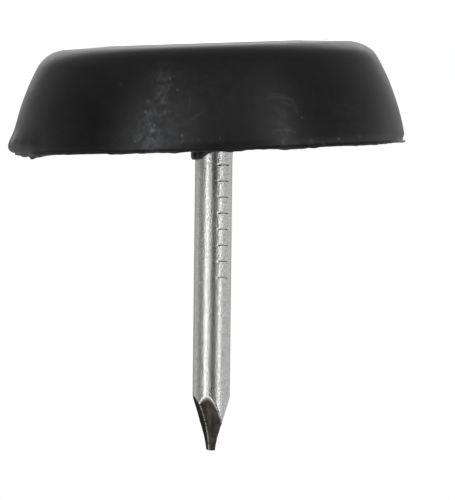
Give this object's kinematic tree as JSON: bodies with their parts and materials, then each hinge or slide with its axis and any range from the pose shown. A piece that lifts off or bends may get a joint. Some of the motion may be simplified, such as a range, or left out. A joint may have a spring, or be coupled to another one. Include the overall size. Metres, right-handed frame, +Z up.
{
  "type": "nail-on furniture glide",
  "caption": "Round black plastic glide moulded round the head of a short steel nail, which is driven into the end of a furniture leg so that the flat sole slides on the floor.",
  "frame": {"origin": "centre of the flat sole, on the floor", "axes": "+Z up from the sole to the nail's tip; the nail leans slightly towards +X; -Y is the front, the side that the picture shows"},
  "size_m": [0.017, 0.017, 0.0174],
  "materials": {
    "cap_plastic": "black injection-moulded polyethylene, satin, with rub marks",
    "nail_steel": "bright zinc-plated wire, finely drawn"
  },
  "bodies": {
    "root": {"glide_cap": "cap_plastic", "nail": "nail_steel"}
  },
  "joints": []
}
